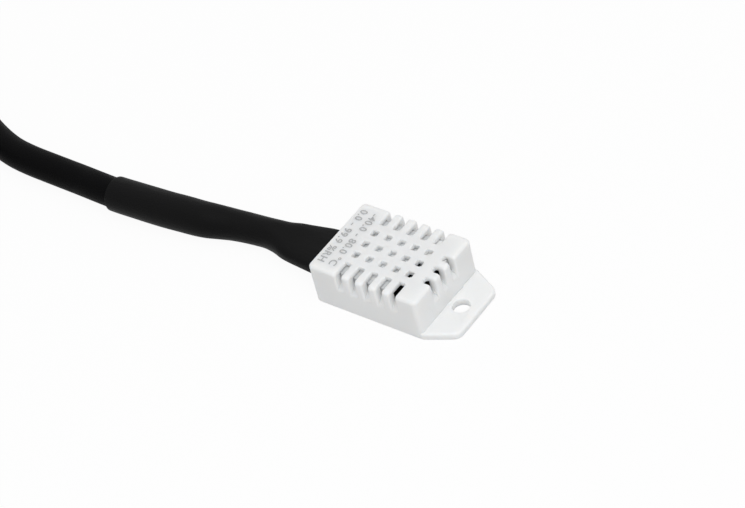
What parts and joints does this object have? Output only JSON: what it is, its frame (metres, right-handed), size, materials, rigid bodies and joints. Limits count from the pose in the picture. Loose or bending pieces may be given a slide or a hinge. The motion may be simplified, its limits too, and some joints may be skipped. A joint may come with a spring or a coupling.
{
  "type": "temperature humidity sensor",
  "caption": "White vented temperature and humidity sensor head with a screw ear, on a black jacketed lead held in a heat-shrink boot and ending in stripped, tinned wires.",
  "frame": {"origin": "centre of the case's back face, without its ear", "axes": "+X towards the screw ear and away from the cable, +Z out of the vent grille"},
  "size_m": [0.1718, 0.05, 0.0121],
  "materials": {
    "case_plastic": "white moulded plastic with a fine satin texture",
    "board": "white solder mask",
    "header_plastic": "off-white moulded plastic",
    "tinned_metal": "bright tin plating",
    "ceramic": "white fired ceramic",
    "electrode": "silver paste, fired on",
    "film": "clear moisture-sensitive film",
    "bead_glass": "black epoxy bead",
    "chip_black": "black moulding compound",
    "capacitor": "tan ceramic",
    "core_red": "smooth insulation",
    "core_yellow": "smooth insulation",
    "core_black": "smooth insulation",
    "boot_plastic": "shrunk polyolefin sleeve with a soft sheen",
    "cable_jacket": "matt black flexible PVC",
    "tie_fabric": "light grey hook and loop strap"
  },
  "bodies": {
    "root": {"front_shell": "case_plastic", "back_cover": "case_plastic", "circuit_board": "board", "pin_header": "header_plastic", "element_frame": "header_plastic", "pin_1": "tinned_metal", "pin_2": "tinned_metal", "pin_3": "tinned_metal", "pin_4": "tinned_metal", "board_solder": "tinned_metal", "element_leads": "tinned_metal", "thermistor_leads": "tinned_metal", "controller_leads": "tinned_metal", "solder_joints": "tinned_metal", "tip_red": "tinned_metal", "tip_yellow": "tinned_metal", "tip_black": "tinned_metal", "humidity_substrate": "ceramic", "humidity_electrodes": "electrode", "sensing_film": "film", "thermistor_bead": "bead_glass", "controller_chip": "chip_black", "chip_resistors": "chip_black", "chip_capacitors": "capacitor", "core_red": "core_red", "lead_red": "core_red", "core_yellow": "core_yellow", "lead_yellow": "core_yellow", "core_black": "core_black", "lead_black": "core_black", "boot": "boot_plastic", "cable_run": "cable_jacket", "cable_hank": "cable_jacket", "cable_tail": "cable_jacket", "hank_tie": "tie_fabric"}
  },
  "joints": []
}
